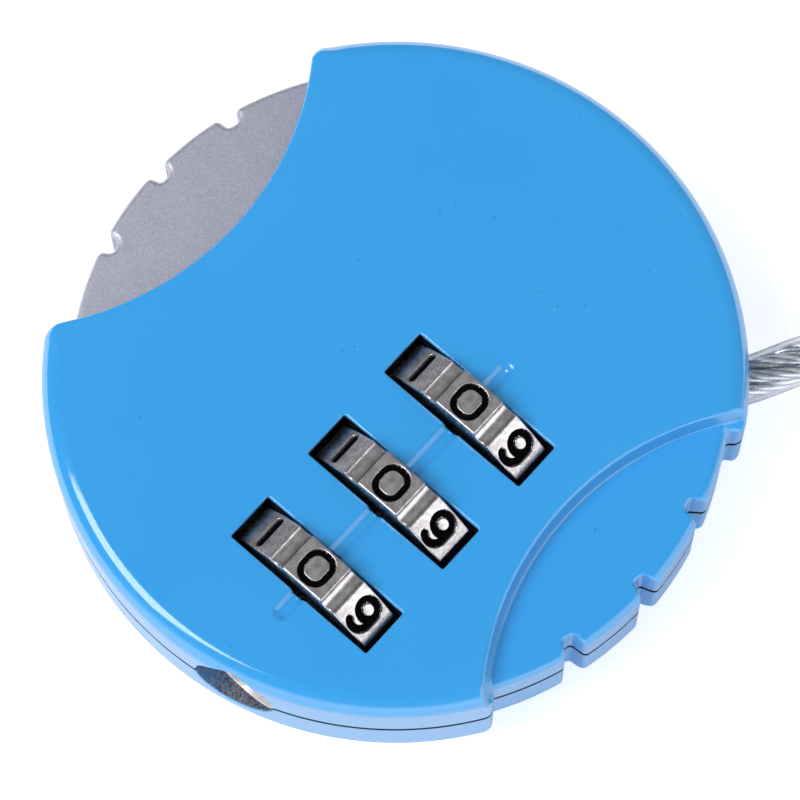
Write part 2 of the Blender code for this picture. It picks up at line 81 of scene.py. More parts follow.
# ---- places read from the frame -------------------------------------------------
def mm_box(node):
    lo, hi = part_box(node)
    return np.array(lo, float) * 1000, np.array(hi, float) * 1000


front_lo, front_hi = mm_box("front_cover")
back_lo, back_hi = mm_box("back_cover")
TOP = float(front_hi[2])                 # front face
PART = float(front_lo[2] + back_hi[2]) / 2   # parting plane
SEAM = float(front_lo[2] - back_hi[2])
R = float(front_hi[0] - front_lo[0]) / 2
DIALS = []
for i in (1, 2, 3):
    p = [c * 1000 for c in joints[f"dial_{i}_spin"]["pos_m"]]
    DIALS.append(p)
AY, AZ = DIALS[0][1], DIALS[0][2]
BENDS = [np.array(joints[f"cable_bend_{k}"]["pos_m"][:2]) * 1000 for k in range(1, 13)]
CABLE_Z = joints["cable_bend_1"]["pos_m"][2] * 1000

ARC_C, ARC_R = 33.4, 19.7
RECESS = 1.4
GRIP_R, GRIP_RIGHT, GRIP_LEFT = 20.95, math.radians(31.4), math.radians(32.0)
NOTCH_STEP = 16.4
HOLE_Y, HOLE_R, HOLE_TALL = -5.5, 2.56, 1.48
GROOVE = (-16.2, 4.2)
EXIT = BENDS[0]
HEAD = math.radians(-30.6)
HEADV = np.array([math.cos(HEAD), math.sin(HEAD)])


# ---- rounded solids as distance fields, and their surface ----------------------------
def rmax(a, b, r):
    """Intersection of two solids with a round edge of radius r."""
    u = np.maximum(a + r, 0.0)
    v = np.maximum(b + r, 0.0)
    return np.minimum(np.maximum(a, b), -r) + np.sqrt(u * u + v * v)


def rmin(a, b, r):
    """Union with a fillet of radius r in the corner."""
    return -rmax(-a, -b, r)


def cut(a, b, r):
    """a with b taken away, and a round edge of radius r along the cut."""
    return rmax(a, -b, r)


def box2(x, y, hx, hy, r=0.0):
    qx = np.abs(x) - hx + r
    qy = np.abs(y) - hy + r
    return np.minimum(np.maximum(qx, qy), 0) + np.sqrt(np.maximum(qx, 0) ** 2 + np.maximum(qy, 0) ** 2) - r


def box3(x, y, z, lo, hi):
    c = [(a + b) / 2 for a, b in zip(lo, hi)]
    h = [(b - a) / 2 for a, b in zip(lo, hi)]
    return np.maximum(np.maximum(np.abs(x - c[0]) - h[0], np.abs(y - c[1]) - h[1]), np.abs(z - c[2]) - h[2])


def surface(f, lo, hi, h, steps=3):
    """Surface of f = 0 as quads: one point per cell that f crosses, moved onto the surface."""
    n = [int(math.ceil((b - a) / h)) + 3 for a, b in zip(lo, hi)]
    ax = [a - h * 1.03 + np.arange(k) * h for a, k in zip(lo, n)]
    X, Y, Z = ax[0][:, None, None], ax[1][None, :, None], ax[2][None, None, :]
    F = np.empty(n, np.float32)
    for i in range(0, n[0], 24):          # in slabs, to bound the memory used
        F[i:i + 24] = f(X[i:i + 24], Y, Z)
    ins = F < 0
    c = ins.astype(np.int8)
    total = (c[:-1, :-1, :-1] + c[1:, :-1, :-1] + c[:-1, 1:, :-1] + c[:-1, :-1, 1:]
             + c[1:, 1:, :-1] + c[1:, :-1, 1:] + c[:-1, 1:, 1:] + c[1:, 1:, 1:])
    active = (total > 0) & (total < 8)
    cells = np.argwhere(active)
    index = np.full(active.shape, -1, np.int32)
    index[active] = np.arange(len(cells))
    corner = {}
    for d in ((0, 0, 0), (1, 0, 0), (0, 1, 0), (0, 0, 1), (1, 1, 0), (1, 0, 1), (0, 1, 1), (1, 1, 1)):
        corner[d] = F[cells[:, 0] + d[0], cells[:, 1] + d[1], cells[:, 2] + d[2]].astype(float)
    acc = np.zeros((len(cells), 3))
    cnt = np.zeros(len(cells))
    for a in corner:
        for axis in range(3):
            if a[axis]:
                continue
            b = tuple(1 if k == axis else a[k] for k in range(3))
            fa, fb = corner[a], corner[b]
            cross = (fa < 0) != (fb < 0)
            t = np.where(cross, fa / np.where(cross, fa - fb, 1.0), 0.0)
            for k in range(3):
                acc[:, k] += np.where(cross, (t if k == axis else a[k]), 0.0)
            cnt += cross
    p = acc / cnt[:, None]
    p = np.stack([ax[k][cells[:, k]] + p[:, k] * h for k in range(3)], 1)
    start = p.copy()
    e = h * 0.12
    for _ in range(steps):
        v, g = value_gradient(f, p, e)
        g2 = np.maximum((g * g).sum(1), 0.05)
        p = p - (v / g2)[:, None] * g
        off = p - start
        far = np.sqrt((off * off).sum(1))
        p = start + off * np.minimum(1.0, 0.85 * h / np.maximum(far, 1e-9))[:, None]
    _, g = value_gradient(f, p, e * 0.5)
    normals = g / np.maximum(np.linalg.norm(g, axis=1), 1e-9)[:, None]
    quads = []
    for axis in range(3):
        s0 = [slice(None)] * 3
        s1 = [slice(None)] * 3
        s0[axis], s1[axis] = slice(None, -1), slice(1, None)
        o1, o2 = [k for k in range(3) if k != axis]
        change = ins[tuple(s0)] != ins[tuple(s1)]
        where = np.argwhere(change)
        keep = (where[:, o1] > 0) & (where[:, o2] > 0) & (where[:, o1] < n[o1] - 1) & (where[:, o2] < n[o2] - 1)
        where = where[keep]
        out = ins[tuple(where.T)]         # inside first: the face looks along +axis

        def cell(d1, d2):
            q = where.copy()
            q[:, o1] -= d1
            q[:, o2] -= d2
            return index[tuple(q.T)]

        a, b, c2, d = cell(1, 1), cell(0, 1), cell(0, 0), cell(1, 0)
        flip = out if axis != 1 else ~out
        quads.append(np.where(flip[:, None], np.stack([a, b, c2, d], 1), np.stack([d, c2, b, a], 1)))
    quads = np.concatenate(quads)
    quads = quads[(quads >= 0).all(1)]
    return p, quads, normals


def value_gradient(f, p, e):
    x, y, z = p[:, 0], p[:, 1], p[:, 2]
    v = f(x, y, z)
    g = np.stack([
        (f(x + e, y, z) - f(x - e, y, z)) / (2 * e),
        (f(x, y + e, z) - f(x, y - e, z)) / (2 * e),
        (f(x, y, z + e) - f(x, y, z - e)) / (2 * e),
    ], 1)
    return v, g


def quad_mesh(name, p, quads, attributes=None):
    mesh = bpy.data.meshes.new(name)
    mesh.vertices.add(len(p))
    mesh.vertices.foreach_set("co", (p * MM).astype(np.float32).ravel())
    mesh.loops.add(quads.size)
    mesh.loops.foreach_set("vertex_index", quads.astype(np.int32).ravel())
    mesh.polygons.add(len(quads))
    mesh.polygons.foreach_set("loop_start", np.arange(0, quads.size, quads.shape[1], dtype=np.int32))
    mesh.update(calc_edges=True)
    mesh.validate(verbose=False)
    for key, value in (attributes or {}).items():
        at = mesh.attributes.new(key, "FLOAT", "POINT")
        at.data.foreach_set("value", value.astype(np.float32))
    return mesh


def field_piece(name, f, lo, hi, h, attribute=None, keep=0.3):
    """A piece from a distance field; its flat stretches are thinned out, and its normals follow the field."""
    p, quads, _ = surface(f, lo, hi, h)
    mesh = quad_mesh(name, p, quads)
    obj = bpy.data.objects.new(name, mesh)
    bpy.context.scene.collection.objects.link(obj)
    if keep < 1:
        m = obj.modifiers.new("fewer", "DECIMATE")
        m.ratio = keep
        bpy.context.view_layer.update()
        graph = bpy.context.evaluated_depsgraph_get()
        done = bpy.data.meshes.new_from_object(obj.evaluated_get(graph))
        obj.modifiers.clear()
        obj.data = done
        bpy.data.meshes.remove(mesh)
        mesh = done
        mesh.name = name
    co = np.empty(len(mesh.vertices) * 3, np.float32)
    mesh.vertices.foreach_get("co", co)
    co = co.reshape(-1, 3).astype(float) / MM
    _, g = value_gradient(f, co, h * 0.06)
    nrm = g / np.maximum(np.linalg.norm(g, axis=1), 1e-9)[:, None]
    mesh.shade_smooth()
    mesh.normals_split_custom_set_from_vertices([tuple(v) for v in nrm])
    if attribute:
        for key, fn in attribute.items():
            at = mesh.attributes.new(key, "FLOAT", "POINT")
            at.data.foreach_set("value", fn(co).astype(np.float32))
    return obj


# ---- covers ------------------------------------------------------------------------------
def notches(u0, v0, rad_bottom, half, spread):
    """Three finger notches around +v0, as one field; u0 and v0 are plan coordinates."""
    found = None
    for k in (-1, 0, 1):
        a = math.radians(NOTCH_STEP * k)
        t = u0 * math.cos(a) - v0 * math.sin(a)
        w = u0 * math.sin(a) + v0 * math.cos(a)
        side = (np.abs(t) - half - spread * (w - rad_bottom)) / math.sqrt(1 + spread * spread)
        d = rmax(side, rad_bottom - w, 0.18)
        found = d if found is None else np.minimum(found, d)
    return found


def hole_radius(y, z):
    """Distance from the plug hole's axis, scaled so that the front cover's half of the hole is a little taller."""
    dz = z - PART
    return np.sqrt((y - HOLE_Y) ** 2 + np.where(dz > 0, dz / HOLE_TALL, dz) ** 2)


def cover(depth_z, part, fillet, window_half, groove, seam_round=0.13):
    """Field of one cover in its own sense: depth_z grows towards its face, which is at TOP."""
    def f(x, y, z):
        zz = depth_z(z)
        r = np.sqrt(x * x + y * y)
        bay = np.sqrt(x * x + (y - ARC_C) ** 2) - ARC_R
        w = np.clip(0.5 + (bay - (R - r)) / 2.6, 0, 1)
        edge_round = 0.3 + (fillet - 0.3) * w * w * (3 - 2 * w)
        a = rmax(rmax(r - R, -bay, 0.85), zz - TOP, edge_round)
        grip = np.sqrt(x * x + (y + ARC_C) ** 2) - (ARC_R - 0.22 * np.clip(TOP - zz, 0, RECESS))
        step = rmax(grip, (TOP - RECESS) - zz, 0.2)
        sector = np.maximum(x * math.cos(GRIP_RIGHT), -x * math.cos(GRIP_LEFT))
        sector = sector + y * np.where(x > 0, math.sin(GRIP_RIGHT), math.sin(GRIP_LEFT))
        edge = rmax(sector, GRIP_R - r, 0.3)
        a = cut(a, step, 0.26)
        a = cut(a, edge, 0.7)
        a = cut(a, notches(x, -y, GRIP_R - 1.08, 0.36, 0.36), 0.26)
        a = rmax(a, part - zz, seam_round)
        # interior
        room = np.maximum(np.maximum(r - 20.4, (ARC_R + 1.3) - np.sqrt(x * x + (y + ARC_C) ** 2)), zz - (TOP - 1.1))
        for bx in (16.5, -16.5):
            room = np.maximum(room, 2.1 - np.sqrt((x - bx) ** 2 + (y - 8.6) ** 2))
        room = np.minimum(room, box3(x, y, z, (-12.0, -15.6, 2.6), (6.0, -11.0, 7.4)))
        room = np.minimum(room, box3(x, y, z, (-18.45, -10.6, 1.5), (-16.9, -6.0, 8.5)))
        seat = hole_radius(y, z)
        bore = np.sqrt((y - HOLE_Y) ** 2 + (z - PART) ** 2)
        room = np.minimum(room, np.maximum(bore - 3.3, np.maximum(-19.9 - x, x + 16.9)))
        a = cut(a, room, 0.08)
        # screws
        for bx, by, top in ((16.5, 8.6, 8.5), (-16.5, 8.6, 8.5), (0.0, -18.2, 7.5)):
            rr = np.sqrt((x - bx) ** 2 + (y - by) ** 2)
            a = cut(a, np.maximum(rr - 1.15, z - top), 0.05)
            sink_top = 1.3 if by > 0 else RECESS + 1.3
            a = cut(a, np.maximum(rr - 1.62, z - sink_top), 0.1)
        # dial windows, with room for the wheels behind them
        for dx, dy, dz in DIALS:
            w = np.maximum(box2(x - dx, y - dy, 1.68, window_half, 0.12), 7.0 - zz)
            a = cut(a, w, 0.11)
            sweep = np.maximum(np.sqrt((y - dy) ** 2 + (z - dz) ** 2) - 7.05, np.abs(x - dx) - 1.6)
            a = np.maximum(a, -sweep)
        if groove:
            gx = np.clip(x, GROOVE[0], GROOVE[1])
            g = np.sqrt((x - gx) ** 2 + (y - AY) ** 2 + (z - TOP - 0.26) ** 2) - 0.56
            a = cut(a, g, 0.2)
        # plug hole and cable exit
        a = cut(a, np.maximum(seat - HOLE_R, x + 19.5), 0.12)
        a = cut(a, np.maximum(bore - HOLE_R, x + 17.5), 0.12)
        t = (x - EXIT[0]) * HEADV[0] + (y - EXIT[1]) * HEADV[1]
        u = -(x - EXIT[0]) * HEADV[1] + (y - EXIT[1]) * HEADV[0]
        line = np.sqrt(u * u + (z - CABLE_Z) ** 2)
        a = cut(a, np.maximum(line - 1.62, -7.5 - t), 0.25)
        a = np.maximum(a, -np.maximum(line - 2.4, np.maximum(-10.8 - t, t + 6.2)))
        return a
    return f


def painted_shade_inside(p):
    """1 where the covers get painted shade in near black: the cavity, the window walls below their rims, and the plug
    hole.
    """
    x, y, z = p[:, 0], p[:, 1], p[:, 2]
    r = np.sqrt(x * x + y * y)
    painted_shade = (r < 20.7) & (z > 1.25) & (z < TOP - 0.95)
    painted_shade &= np.sqrt(x * x + (y - ARC_C) ** 2) > ARC_R + 0.25
    painted_shade &= (np.sqrt(x * x + (y + ARC_C) ** 2) > ARC_R + 1.0)
    for dx, dy, _ in DIALS:
        in_front = (np.abs(x - dx) < 1.78) & (np.abs(y - dy) < 5.66) & (z < TOP - 0.2) & (z > 5)
        in_back = (np.abs(x - dx) < 1.78) & (np.abs(y - dy) < 5.06) & (z > 0.2) & (z < 5)
        painted_shade |= in_front | in_back
    return painted_shade.astype(float)


def in_hole(p):
    """1 inside the plug hole, past its rounded edge."""
    seat = hole_radius(p[:, 1], p[:, 2])
    rim = np.sqrt(p[:, 0] ** 2 + p[:, 1] ** 2)
    return ((seat < HOLE_R + 0.06) & (p[:, 0] < -14) & (rim < R - 0.05)).astype(float)


# the first mark is where the covers get painted shade in near black; the second is the plug hole
MARKS = {"painted_shade": painted_shade_inside, "hole": in_hole}
H_COVER = 0.11
front_field = cover(lambda z: z, PART + SEAM / 2 + 0.05, 1.35, 5.55, True)
back_base = cover(lambda z: TOP - z, TOP - (PART - SEAM / 2 - 0.05), 2.0, 4.95, False)


def back_field(x, y, z):
    a = back_base(x, y, z)
    hole = np.sqrt((x - 12.0) ** 2 + (y - 0.5) ** 2) - 1.0
    return cut(a, np.maximum(hole, z - 3.0), 0.12)


front = field_piece("front_cover_shell", front_field, (-R, -R, PART), (R, R, TOP), H_COVER, MARKS)
back = field_piece("back_cover_shell", back_field, (-R, -R, 0.0), (R, R, PART), H_COVER, MARKS)


# ---- release button ------------------------------------------------------------------------
def button_field(x, y, z):
    r = np.sqrt(x * x + y * y)
    out = rmax(r - 20.3, np.sqrt(x * x + (y - ARC_C) ** 2) - 22.7, 0.3)
    side = np.minimum(np.abs(x) - 11.1, np.maximum(np.abs(x) - 13.2, y - 13.6))
    out = rmax(out, side, 0.25)
    out = cut(out, notches(x, y, 19.46, 0.38, 0.36), 0.3)
    a = rmax(out, np.abs(z - TOP / 2) - (TOP / 2 - RECESS), 0.42)
    for bx in (-8.5, 8.5):
        cup = np.maximum(np.sqrt((x - bx) ** 2 + (z - 6.6) ** 2) - 1.75, np.maximum(y - 14.9, 9.5 - y))
        a = cut(a, cup, 0.1)
    return a


button = field_piece("release_button_body", button_field, (-13.3, 10.0, RECESS), (13.3, 20.4, TOP - RECESS),
                     0.1)


# ---- number dials ----------------------------------------------------------------------------
def seg(px, py, ax, ay, bx, by):
    dx, dy = bx - ax, by - ay
    t = np.clip(((px - ax) * dx + (py - ay) * dy) / (dx * dx + dy * dy), 0, 1)
    return np.hypot(px - ax - t * dx, py - ay - t * dy)


def arc_d(px, py, cx, cy, rx, ry, a0, a1, n=14):
    """Distance to an elliptic arc, as short chords."""
    best = None
    for k in range(n):
        s, e = [math.radians(a0 + (a1 - a0) * (k + q) / n) for q in (0, 1)]
        d = seg(px, py, cx + rx * math.cos(s), cy + ry * math.sin(s), cx + rx * math.cos(e), cy + ry * math.sin(e))
        best = d if best is None else np.minimum(best, d)
    return best


def glyph(k, px, py):
    """Signed distance to a digit's strokes, in mm; px to the right and py up, centred on the facet."""
    w = 0.2
    if k == 0:
        return np.abs(box2(px, py, 0.84, 0.98, 0.72)) - w
    if k == 1:
        return seg(px, py, 0, -0.86, 0, 0.86) - 0.27
    if k == 2:
        d = arc_d(px, py, 0, 0.38, 0.72, 0.6, 165, -35)
        d = np.minimum(d, seg(px, py, 0.59, 0.04, -0.72, -0.98))
        return np.minimum(d, seg(px, py, -0.72, -0.98, 0.74, -0.98)) - w
    if k == 3:
        d = arc_d(px, py, -0.05, 0.46, 0.66, 0.52, 160, -80)
        return np.minimum(d, arc_d(px, py, -0.05, -0.48, 0.74, 0.52, 80, -160)) - w
    if k == 4:
        d = seg(px, py, 0.3, 0.98, -0.78, -0.38)
        d = np.minimum(d, seg(px, py, -0.78, -0.38, 0.8, -0.38))
        return np.minimum(d, seg(px, py, 0.3, 0.98, 0.3, -0.98)) - w
    if k == 5:
        d = seg(px, py, 0.66, 0.98, -0.58, 0.98)
        d = np.minimum(d, seg(px, py, -0.58, 0.98, -0.66, 0.1))
        return np.minimum(d, arc_d(px, py, -0.02, -0.34, 0.74, 0.62, 148, -150)) - w
    if k in (6, 9):
        s = (1 if k == 9 else -1) / 1.08
        qx, qy, w = px * s, py * s, 0.235
        d = arc_d(qx, qy, -0.02, 0.36, 0.62, 0.58, 0, 360, 20)
        d = np.minimum(d, seg(qx, qy, 0.6, 0.36, 0.6, -0.28))
        return np.minimum(d, arc_d(qx, qy, -0.06, -0.28, 0.66, 0.68, 0, -132)) - w
    if k == 7:
        d = seg(px, py, -0.72, 0.98, 0.72, 0.98)
        return np.minimum(d, seg(px, py, 0.72, 0.98, -0.2, -0.98)) - w
    d = arc_d(px, py, 0, 0.48, 0.58, 0.48, 0, 360, 18)
    return np.minimum(d, arc_d(px, py, 0, -0.46, 0.7, 0.52, 0, 360, 18)) - w


def facet_coords(y, z):
    """Facet number, coordinate along the facet and height over the axis, for a point about the axle."""
    phi = np.degrees(np.arctan2(y, z))
    k = np.round(phi / 36.0)
    m = np.radians(phi - 36.0 * k)
    rho = np.sqrt(y * y + z * z)
    return np.mod(k, 10).astype(int), rho * np.sin(m), rho * np.cos(m), rho


def ink_distance(u, y, z):
    """Distance to the nearest stroke of the digit on the point's facet."""
    k, along, height, _ = facet_coords(y, z)
    u, along, height, k = np.broadcast_arrays(u, along, height, k)
    d = np.full(u.shape, 1.0)
    for digit in range(10):
        m = (k == digit) & (height > 6.2) & (np.abs(along) < 1.5)
        if m.any():
            d[m] = glyph(digit, -along[m], u[m])
    return d


def dial_field(u, y, z):
    k, along, height, rho = facet_coords(y, z)
    a = height - 6.63
    gx, gy = 7.09 * math.cos(math.radians(18)), 7.09 * math.sin(math.radians(18))
    valley = np.sqrt((height - gx) ** 2 + (np.abs(along) - gy) ** 2) - 0.64
    a = cut(a, valley, 0.07)
    a = rmax(a, np.abs(u) - 1.4, 0.13)
    # a shallow turned recess in each side, and the bore
    a = cut(a, np.maximum(np.abs(rho - 3.6) - 1.3, 1.25 - np.abs(u)), 0.06)
    a = np.maximum(a, 1.07 - rho)
    ink = ink_distance(u, y, z)
    return cut(a, np.maximum(ink, 6.63 - 0.16 - height), 0.06)


dial_mesh = None
for i, (dx, dy, dz) in enumerate(DIALS):
    if dial_mesh is None:
        first = field_piece(
            f"number_dial_{i + 1}_wheel", dial_field, (-1.4, -6.95, -6.95), (1.4, 6.95, 6.95),
            0.062,
            {"ink": lambda p: (ink_distance(p[:, 0], p[:, 1], p[:, 2]) < -0.012).astype(float)}, keep=0.5)
        dial_mesh = first.data
        wheel = first
    else:
        wheel = bpy.data.objects.new(f"number_dial_{i + 1}_wheel", dial_mesh)
        bpy.context.scene.collection.objects.link(wheel)
    wheel.location = (dx * MM, dy * MM, dz * MM)
    wheel.rotation_euler = (math.radians((0.0, -1.2, 0.4)[i]), 0, 0)
    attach(wheel, f"dial_{i + 1}")
    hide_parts(f"number_dial_{i + 1}")

for obj, body, node, slot in (
    (front, "body", "front_cover", "blue_enamel"),
    (back, "body", "back_cover", "blue_enamel"),
    (button, "release", "release_button", "satin_nickel"),
):
    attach(obj, body)
    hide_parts(node)


# ---- cable --------------------------------------------------------------------------------------
# The rest curve: an arc in each bend, tangent to the straight lengths at their middles.
def heading(k):
    """Direction of straight length k (0 is the stub inside the rim)."""
    if k == 0:
        return HEADV
    if k < len(BENDS):
        d = BENDS[k] - BENDS[k - 1]
        return d / np.linalg.norm(d)
    d = BENDS[-1] - BENDS[-2]
    a = math.atan2(d[1], d[0]) + math.radians(-7.0)
    return np.array([math.cos(a), math.sin(a)])


HALF = 6.0
LAST = 5.0


def curve_of(k, n):
    """Points and directions of the cable from the middle of length k-1 to the middle of length k."""
    b = BENDS[k - 1]
    d0, d1 = heading(k - 1), heading(k)
    a = b - d0 * HALF
    c = b + d1 * (LAST if k == len(BENDS) else HALF)
    t = np.linspace(0, 1, n + 1)[:, None]
    la = HALF * 0.66
    lc = (LAST if k == len(BENDS) else HALF) * 0.66
    p1, p2 = a + d0 * la, c - d1 * lc
    pts = (1 - t) ** 3 * a + 3 * (1 - t) ** 2 * t * p1 + 3 * (1 - t) * t * t * p2 + t ** 3 * c
    tan = 3 * (1 - t) ** 2 * (p1 - a) + 6 * (1 - t) * t * (p2 - p1) + 3 * t * t * (c - p2)
    tan /= np.linalg.norm(tan, axis=1)[:, None]
    step = np.linalg.norm(np.diff(pts, axis=0), axis=1)
    return pts, tan, np.concatenate([[0], np.cumsum(step)])


def sweep_mesh(name, rings, closed_ends, attributes=None):
    """A tube through rings of points, each an (m, 3) array."""
    m = len(rings[0])
    p = np.concatenate(rings)
    n = len(rings)
    i = np.arange(n - 1)[:, None] * m
    j = np.arange(m)[None, :]
    a = i + j
    b = i + (j + 1) % m
    quads = np.stack([a, b, b + m, a + m], -1).reshape(-1, 4)
    mesh = quad_mesh(name, p, quads, attributes)
    if closed_ends:
        bm = bmesh.new()
        bm.from_mesh(mesh)
        bm.verts.ensure_lookup_table()
        for ring in (list(range(m))[::-1], [(n - 1) * m + q for q in range(m)]):
            bm.faces.new([bm.verts[q] for q in ring])
        bmesh.ops.recalc_face_normals(bm, faces=bm.faces)
        bm.to_mesh(mesh)
        bm.free()
    mesh.shade_smooth()
    mesh.set_sharp_from_angle(angle=math.radians(50))
    return mesh


def joined(name, meshes):
    bm = bmesh.new()
    for m in meshes:
        bm.from_mesh(m)
    out = bpy.data.meshes.new(name)
    bm.to_mesh(out)
    bm.free()
    for m in meshes:
        bpy.data.meshes.remove(m)
    obj = bpy.data.objects.new(name, out)
    bpy.context.scene.collection.objects.link(obj)
    return obj


def coat_walls(k, outer, inner):
    """The coating's outer and inner walls; rims only at the cable's own two ends, so no joint shows between lengths."""
    a = sweep_mesh(f"coat_out_{k}", outer, False)
    b = sweep_mesh(f"coat_in_{k}", [r[::-1] for r in inner], False)
    out = [a, b]
    for at, rim in ((0, k == 1), (-1, k == 12)):
        if rim:
            pair = [outer[at], inner[at]] if at else [inner[at], outer[at]]
            out.append(sweep_mesh(f"coat_rim_{k}", pair, False))
    return out


COAT_OUT, COAT_IN = 1.5, 1.33
LAY = 21.0           # one turn of the rope, mm
STRAND_R = 0.425     # radius of a strand
ROPE_C = 0.835        # strand centres from the rope's centre
rope_objs, coat_objs = [], []
s_before = 0.0


def ease(t):
    t = np.clip(t, 0, 1)
    return t * t * (3 - 2 * t)


def sway(along):
    """Sideways offset of the rest curve just outside the rim, and its slope: the cable leaves a little more square to the rim."""
    def at(q):
        return 0.62 * ease((q - 4.8) / 6.0) * (1 - ease((q - 10.8) / 12.0))
    return at(along), (at(along + 0.01) - at(along - 0.01)) / 0.02


for k in range(1, 13):
    n = 40
    pts, tan, s = curve_of(k, n)
    along = s_before + s
    off, slope = sway(along)
    normal = np.stack([-tan[:, 1], tan[:, 0]], 1)
    pts = pts + normal * off[:, None]
    tan = tan + normal * slope[:, None]
    tan /= np.linalg.norm(tan, axis=1)[:, None]
    side = np.stack([-tan[:, 1], tan[:, 0], np.zeros(len(tan))], 1)
    up = np.array([0, 0, 1.0])
    centre = np.stack([pts[:, 0], pts[:, 1], np.full(len(pts), CABLE_Z)], 1)
    meshes = []
    lobes, per = 6, 4
    for strand in range(7):
        if strand < 6:
            a = math.tau * (along / LAY + strand / 6)
            c = centre + (np.cos(a)[:, None] * side + np.sin(a)[:, None] * up) * ROPE_C
        else:
            a = -math.tau * along / LAY
            c = centre
        rings = []
        for q in range(len(c)):
            b = a[q] * 1.0 + math.tau * along[q] / 12.0 + np.arange(lobes * per) * math.tau / (lobes * per)
            lump = STRAND_R * (0.93 + 0.07 * np.abs(np.cos((b - math.tau * along[q] / 12.0 - a[q]) * lobes / 2)))
            # the lobes turn with the strand, so each reads as a wire
            rings.append(c[q] + (np.cos(b) * lump)[:, None] * side[q] + (np.sin(b) * lump)[:, None] * up)
        lobe = np.tile(np.arange(lobes * per) / per, len(c))
        run = np.repeat(along, lobes * per)
        meshes.append(sweep_mesh(f"strand_{k}_{strand}", rings, k == 12, {"wire": lobe, "run": run}))
    rope = joined(f"cable_rope_bend_{k}", meshes)
    ring_n = 40
    b = np.arange(ring_n) * math.tau / ring_n
    outer = [centre[q] + (np.cos(b) * COAT_OUT)[:, None] * side[q] + (np.sin(b) * COAT_OUT)[:, None] * up for q in range(len(centre))]
    inner = [centre[q] + (np.cos(b) * COAT_IN)[:, None] * side[q] + (np.sin(b) * COAT_IN)[:, None] * up for q in range(len(centre))]
    coat = joined(f"cable_coat_bend_{k}", coat_walls(k, outer, inner))
    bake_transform(rope)
    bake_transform(coat)
    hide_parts(*([f"cable_rope_{k}"] + (["cable_rope_0"] if k == 1 else [])))
    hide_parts(*([f"cable_coat_{k}"] + (["cable_coat_0"] if k == 1 else [])))
    rope_objs.append(rope)
    coat_objs.append(coat)
    s_before += s[-1]


# ---- end fitting --------------------------------------------------------------------------------------
def turned(name, profile, n, marks=None):
    """A turned piece along the cable's last length; profile is (distance from the last bend, radius)."""
    b, d = BENDS[-1], heading(12)
    along = np.array([d[0], d[1], 0.0])
    side = np.array([-d[1], d[0], 0.0])
    up = np.array([0, 0, 1.0])
    o = np.array([b[0], b[1], CABLE_Z])
    th = np.arange(n) * math.tau / n
    rings = []
    for t, r in profile:
        rr = np.full(n, max(r, 1e-3))
        if marks:
            rr = rr - marks(t, th)
        rings.append(o + along * t + (np.cos(th) * rr)[:, None] * side + (np.sin(th) * rr)[:, None] * up)
    mesh = sweep_mesh(name, rings, True)
    mesh.set_sharp_from_angle(angle=math.radians(35))
    obj = bpy.data.objects.new(name, mesh)
    bpy.context.scene.collection.objects.link(obj)
    return obj


def rounded(points, r=0.12, n=4):
    """A profile with its corners rounded."""
    out = [points[0]]
    for a, b, c in zip(points, points[1:], points[2:]):
        a, b, c = np.array(a, float), np.array(b, float), np.array(c, float)
        u, v = a - b, c - b
        lu, lv = np.linalg.norm(u), np.linalg.norm(v)
        q = min(r, lu * 0.45, lv * 0.45)
        p0, p2 = b + u / lu * q, b + v / lv * q
        for k in range(n + 1):
            t = k / n
            out.append(tuple((1 - t) ** 2 * p0 + 2 * t * (1 - t) * b + t * t * p2))
    out.append(points[-1])
    return out


def crimp(t, th):
    """Two rows of crimp flats pressed into the collar."""
    depth = np.zeros_like(th)
    for centre_t in (6.9, 8.7):
        w = math.exp(-((t - centre_t) / 0.42) ** 2)
        depth += 0.16 * w * np.clip(np.cos(th * 6), 0, 1) ** 1.5
    return depth


collar_profile = rounded([(5.0, 1.56), (5.0, 2.1), (5.5, 2.35)], 0.1)
collar_profile += [(5.6 + 0.12 * q, 2.35) for q in range(37)]
collar_profile += rounded([(10.15, 2.35), (10.2, 2.9), (10.4, 3.1), (11.1, 3.1), (11.3, 2.9), (11.3, 0.01)], 0.1)
collar = turned("plug_collar_crimped", collar_profile, 72, crimp)
plug = turned("cable_plug_pin", rounded([(11.42, 0.01), (11.42, 2.35), (14.5, 2.35), (14.5, 1.5), (15.8, 1.5), (15.8, 2.35),
                                          (16.1, 2.35), (16.5, 2.0), (16.8, 1.3), (16.8, 0.01)], 0.14), 64)
for obj, node, slot in ((collar, "plug_collar", "satin_nickel"), (plug, "cable_plug", "bright_steel")):
    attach(obj, "cable_12")
    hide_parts(node)


# ---- sleeve in the plug hole ------------------------------------------------------------------------------
def sleeve_field(x, y, z):
    rr = np.sqrt((y - HOLE_Y) ** 2 + (z - PART) ** 2)
    tube = rmax(rr - 2.575, np.maximum(-20.35 - x, x + 18.6), 0.05)
    ring = rmax(rr - 3.01, np.abs(x + 19.05) - 0.5, 0.1)
    a = rmin(tube, ring, 0.1)
    return cut(a, rr - (2.36 + 0.1 * np.clip(-19.9 - x, 0, 1)), 0.06)


sleeve = field_piece("plug_socket_sleeve", sleeve_field, (-20.4, HOLE_Y - 3.05, PART - 3.05), (-18.5, HOLE_Y + 3.05, PART + 3.05), 0.07)
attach(sleeve, "body")
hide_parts("plug_socket")


